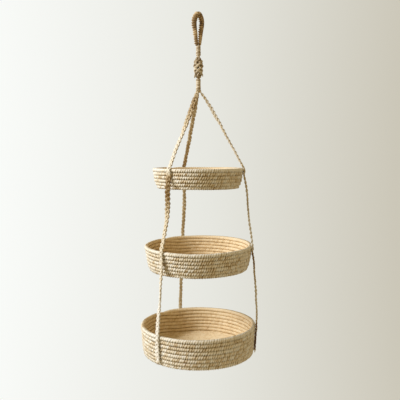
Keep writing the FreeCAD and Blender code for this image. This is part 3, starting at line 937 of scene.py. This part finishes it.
def make_whipping(name, body, node, seed):
    """Strip wound round the neck, closing in at both ends."""
    low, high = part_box(node)
    route = upright(high[2], low[2])

    def radius(s):
        inset = np.minimum(s, route.length - s)
        dome = np.clip(inset / (1 * MM), 0.3, 1)
        shoulder = 0.82 + 0.18 * np.clip(inset / (2.5 * MM), 0, 1)
        return WHIPPING_RADIUS * dome * shoulder * (1 + 0.05 * wander(s[:, :1], 9 * MM, seed))

    skin = Skin()
    wound(skin, route, (high[2] - low[2]) / WHIPPING_WRAPS, radius, WHIPPING_RISE, seed)
    dress(skin.build(name, STRIP), body, "whipping_strip", node)


def make_bundle(name, body, node, top, bottom, seed):
    """The fibres of the rope's core, where the whipping leaves them bare."""
    skin = Skin()
    heights = np.arange(top, bottom, -0.6 * MM)
    for cord in range(BUNDLE_CORDS):
        out = BUNDLE_SPACING if cord else 0
        turn = cord * TAU / (BUNDLE_CORDS - 1) + (top - heights) / BUNDLE_LAY * TAU
        points = np.stack([out * np.cos(turn), out * np.sin(turn), heights], axis=-1)
        shape = plied(BUNDLE_CORD_RADIUS, 3, 8 * MM, seed + cord)
        tube(skin, framed(points, EAST), 0.8 * MM, 10, shape, 0.35 + 0.05 * cord)
    dress(skin.build(name, PLAIT), body, "fibre_cord", node)


def knot_outline(share):
    """The knot's radius from its top, 0, to its bottom, 1."""
    return np.interp(share, list(KNOT_OUTLINE), list(KNOT_OUTLINE.values())) * MM


def make_knot():
    """Eight cords that wind both ways round the neck and pass over and under each other."""
    low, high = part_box("knot")
    skin = Skin()
    top = high[2] - 1.6 * MM
    length = high[2] - low[2] - 3.2 * MM
    share = np.linspace(0, 1, 160)
    turn = share * KNOT_TURNS * TAU
    for way in (1, -1):
        for strand in range(KNOT_WAYS):
            seed = 300 + KNOT_WAYS * way + strand
            uneven = 1 + 0.05 * wander(share, 0.2, seed)
            over = way * KNOT_WEAVE * np.cos(KNOT_WAYS * turn - 0.4 * KNOT_WAYS)
            out = (knot_outline(share) - KNOT_CORD_RADIUS) * uneven + over
            offset = 0.8 if way < 0 else 0
            angle = way * turn + strand * TAU / KNOT_WAYS + offset
            angle = angle + 0.25 * wander(share, 0.3, seed + 1)
            heights = top - share * length + 1.2 * MM * wander(share, 0.25, seed + 2)
            out = np.maximum(out, 1.0 * MM)
            points = np.stack([out * np.cos(angle), out * np.sin(angle), heights], axis=-1)
            radial = np.stack([np.cos(angle), np.sin(angle), 0 * angle], axis=-1)
            cord = plied(KNOT_CORD_RADIUS, 3, 15 * MM, seed)
            tube(skin, framed(points, radial), 0.8 * MM, 14, cord, 0.2 + 0.12 * strand,
                 twist=1 / (6 * MM))

    def core(s, angle):
        reach = np.maximum(knot_outline(s / length) - 6.4 * MM, 2.5 * MM)
        # The hidden core is painted fully in shade and deep in tone, as it shows only between the
        # cords
        return reach, reach, 1.0

    tube(skin, upright(top, top - length), 1.5 * MM, 12, core, 0.8)
    dress(skin.build("knotted_cords", STRIP), "knot", "fibre_cord", "knot")


def make_tails():
    """The knot's two cut cord ends, opened into plies and loose fibres."""
    draw = np.random.RandomState(91)
    low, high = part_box("knot_tails")
    skin = Skin()
    for azimuth, scale in TAILS:
        radial, sideways = compass(math.radians(azimuth))
        root = radial * TAIL_ROOT + UP * (high[2] + 1.5 * MM)
        tip = radial * TAIL_TIP + UP * (high[2] - scale * (high[2] - low[2]) - 3.0 * MM)
        for ply in range(TAIL_PLIES):
            lean = draw.uniform(-1, 1)
            end = tip + lean * 1.5 * MM * sideways + draw.uniform(-0.6, 1.2) * MM * radial
            middle = (root + end) / 2 + draw.uniform(-0.8, 0.8) * MM * sideways + 0.9 * MM * radial
            own = framed(polyline([root, middle, end]), radial)
            cord = plied(draw.uniform(1.1, 1.7) * MM, 2, 6 * MM, 20 + ply, end=own.length)
            tube(skin, own, 0.7 * MM, 8, cord, draw.rand() * 0.6)
    dress(skin.build("knot_tail_ends", STRIP), "knot", "fibre_cord", "knot_tails")


def make_loop():
    """The loop's core, wound in cord with a row of hitches that crosses from side to side."""
    low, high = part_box("loop_cord_cover")
    foot = low[2] - 1.5 * MM
    leg = [(half_width * MM, foot + height * MM) for half_width, height in LOOP_SIDE]
    leg.append((LOOP_CROWN, high[2] / 2 + 1 * MM))
    line = leg + [(-x, z) for x, z in reversed(leg)]
    route = framed(polyline([(x, 0, z) for x, z in line], span=21), FRONT)
    half = route.length / 2

    def thickness(s):
        narrowing = np.clip((np.abs(s - half) - 20 * MM) / (half - 20 * MM), 0, 1)
        dome = np.clip(np.minimum(s, route.length - s) / (3 * MM), 0.001, 1) ** 0.5
        uneven = 1 + 0.04 * wander(s[:, :1], 12 * MM, 8)
        return (LOOP_THICK - LOOP_THINNING * narrowing) * dome * uneven

    def hitches(s):
        side = smooth((s - half + 14 * MM) / (28 * MM))
        return side * math.pi - TAU / 4

    skin = Skin()
    wound(skin, route, LOOP_CORD_PITCH, thickness, LOOP_CORD_RISE, 60, sides=20, rows_per=8,
          spread=0.35, hitches=hitches)
    loop = skin.build("loop_hitched_cord", BROWN)
    dress(loop, "hanging_loop", "hitched_cord", "loop_cord_cover", "loop_core")


def make_neck():
    """The rope between the loop and the straps, on both sides of the knot."""
    make_whipping("upper_strip_whipping", "upper_neck", "upper_whipping", 70)
    make_whipping("lower_strip_whipping", "lower_neck", "lower_whipping", 74)
    knot_low, knot_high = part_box("knot")
    make_bundle("upper_neck_fibres", "upper_neck", "upper_neck_core",
                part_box("upper_whipping")[1][2] + 1 * MM, knot_high[2] - 4 * MM, 80)
    make_bundle("lower_neck_fibres", "lower_neck", "lower_neck_core",
                knot_low[2] + 4 * MM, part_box("lower_neck_core")[0][2], 84)


# ---------------------------------------------------------------- stage, light and camera
def round_axis(azimuth):
    """The level direction at an azimuth in degrees round from the front."""
    turn = math.radians(azimuth)
    return Vector((math.sin(turn), -math.cos(turn), 0))


def make_floor():
    paint = bpy.data.materials.new("floor_paint")
    shader = Graph(paint).nodes["Principled BSDF"]
    shader.inputs["Base Color"].default_value = (*WALL_COLOUR, 1)
    shader.inputs["Roughness"].default_value = 0.9
    bpy.ops.mesh.primitive_circle_add(vertices=96, radius=FLOOR_RADIUS, fill_type="NGON",
                                      location=(0, 0, FLOOR_HEIGHT))
    floor = bpy.context.object
    floor.name = "floor"
    floor.data.materials.append(paint)


def wall_shade(graph):
    """The pale wall's colour, with painted light on the lamp's side and painted shade on the far
    side.
    """
    turn = math.radians(CAMERA_AZIMUTH)
    across = graph.add("VectorMath", operation="DOT_PRODUCT")
    across.inputs[1].default_value = (math.cos(turn), math.sin(turn), 0)
    graph.links.new(graph.add("TexCoord").outputs["Generated"], across.inputs[0])
    spread = graph.add("MapRange")
    spread.inputs["From Min"].default_value = -WALL_REACH
    spread.inputs["From Max"].default_value = WALL_REACH
    graph.links.new(across.outputs["Value"], spread.inputs["Value"])
    stops = ((0, WALL_BRIGHT), (WALL_MIDDLE, WALL_COLOUR), (1, WALL_DIM))
    return graph.ramp(spread.outputs["Result"], *stops)


def make_world():
    """A warm fill light, with the pale wall wherever the world itself is seen."""
    world = bpy.data.worlds.new("studio")
    bpy.context.scene.world = world
    graph = Graph(world)
    fill = graph.nodes["Background"]
    fill.inputs["Color"].default_value = (*FILL_COLOUR, 1)
    fill.inputs["Strength"].default_value = FILL_STRENGTH
    wall = graph.add("Background")
    graph.links.new(wall_shade(graph), wall.inputs["Color"])
    rays = graph.add("LightPath").outputs
    seen = graph.maths("MAXIMUM", rays["Is Glossy Ray"], rays["Is Transmission Ray"])
    seen = graph.maths("MAXIMUM", rays["Is Camera Ray"], seen)
    mix = graph.add("MixShader")
    for socket, output in zip(mix.inputs, (seen, fill.outputs[0], wall.outputs[0])):
        graph.links.new(output, socket)
    graph.links.new(mix.outputs[0], graph.nodes["World Output"].inputs["Surface"])


def make_lamp():
    """A soft window light that looks at the middle of the baskets."""
    tilt = math.radians(LAMP_ELEVATION)
    away = round_axis(LAMP_AZIMUTH) * math.cos(tilt) + Vector((0, 0, math.sin(tilt)))
    lamp = bpy.data.lights.new("window", "AREA")
    lamp.size = LAMP_SIZE
    lamp.energy = LAMP_POWER
    lamp.color = (1.0, 1.0, 1.0)
    obj = bpy.data.objects.new("window", lamp)
    bpy.context.scene.collection.objects.link(obj)
    obj.location = LAMP_TARGET + away * LAMP_DISTANCE
    obj.rotation_euler = (-away).to_track_quat("-Z", "Y").to_euler()


def make_camera():
    camera = bpy.data.cameras.new("camera")
    camera.lens = LENS
    obj = bpy.data.objects.new("camera", camera)
    bpy.context.scene.collection.objects.link(obj)
    obj.location = round_axis(CAMERA_AZIMUTH) * CAMERA_DISTANCE + Vector((0, 0, CAMERA_HEIGHT))
    turn = math.radians(CAMERA_AZIMUTH) + math.radians(CAMERA_ASIDE)
    obj.rotation_euler = (math.radians(90 - CAMERA_DIP), 0, turn)
    bpy.context.scene.camera = obj


for number, tier_name in enumerate(TIERS):
    make_base(tier_name, 10 + 3 * number)
    make_wall(tier_name, 11 + 3 * number)
    make_lashings(tier_name, 30 + 3 * number)
make_strap_ends([make_strap(side, 40 + 10 * number) for number, side in enumerate(STRAP_AZIMUTHS)])
make_neck()
make_knot()
make_tails()
make_loop()
make_floor()
make_world()
make_lamp()
make_camera()
bpy.context.scene.view_settings.view_transform = "Standard"
